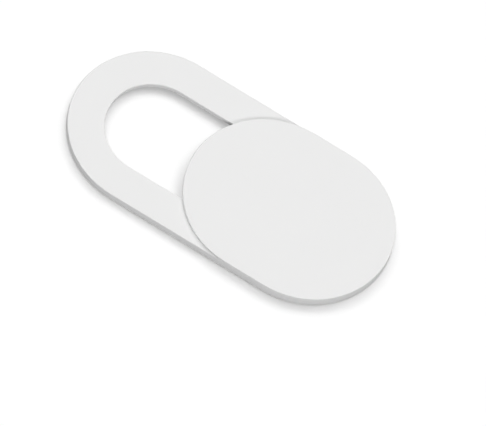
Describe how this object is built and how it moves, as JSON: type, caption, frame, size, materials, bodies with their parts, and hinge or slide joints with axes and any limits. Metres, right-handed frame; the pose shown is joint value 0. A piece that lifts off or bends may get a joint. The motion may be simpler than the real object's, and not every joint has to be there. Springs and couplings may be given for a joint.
{
  "type": "webcam cover slider",
  "caption": "Oval stick-on webcam cover: an oblong frame with a window, a thin slider that runs along it to close the window, and a ring of tape that holds the frame on a screen's bezel.",
  "frame": {"origin": "centre of the frame's outline, on the back of the tape, which is the surface that the cover is stuck to", "axes": "+X along the slide, towards the end where the slider rests with the window open; +Y across the frame; +Z out of the front"},
  "size_m": [0.0186, 0.0092, 0.0007],
  "materials": {
    "white_plastic": "white injection-moulded plastic with a fine matt surface",
    "adhesive_tape": "thin white double-sided tape, satin where the adhesive lies"
  },
  "bodies": {
    "frame": {"base_frame": "white_plastic", "adhesive_ring": "adhesive_tape"},
    "slider": {"slider_cover": "white_plastic", "slider_back_plate": "white_plastic"}
  },
  "joints": [
    {"name": "slider_slide", "type": "slide", "parent": "frame", "child": "slider", "axis": [1, 0, 0], "range_m": [-0.00703, 0]}
  ]
}
